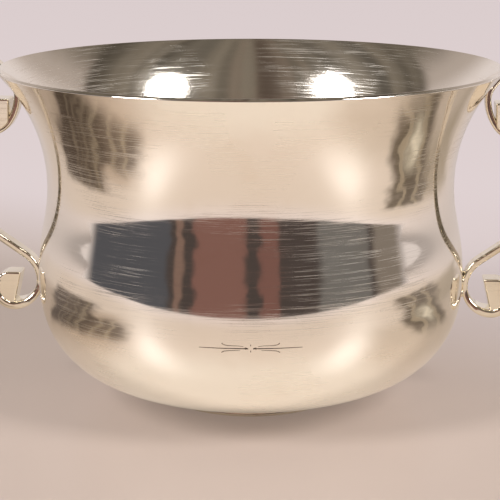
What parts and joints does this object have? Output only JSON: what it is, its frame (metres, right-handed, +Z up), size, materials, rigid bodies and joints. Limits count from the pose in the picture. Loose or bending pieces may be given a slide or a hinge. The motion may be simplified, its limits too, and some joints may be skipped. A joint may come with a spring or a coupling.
{
  "type": "caudle cup",
  "caption": "Silver caudle cup: a raised bowl with a flared lip and swelling belly on a low foot ring, with a scroll handle on each side.",
  "frame": {"origin": "middle of the foot ring's underside, on the surface that the cup stands on, straight below the bowl's axis", "axes": "+Z up along the bowl's axis, +X through the right handle, +Y towards the back"},
  "size_m": [0.1616, 0.115, 0.0806],
  "materials": {
    "bowl_silver": "hand-polished silver with fine scratches",
    "foot_silver": "polished silver, duller where it meets the table",
    "handle_silver": "polished cast silver, darker in the curls"
  },
  "bodies": {
    "root": {"bowl": "bowl_silver", "foot_ring": "foot_silver", "right_handle": "handle_silver", "left_handle": "handle_silver"}
  },
  "joints": []
}
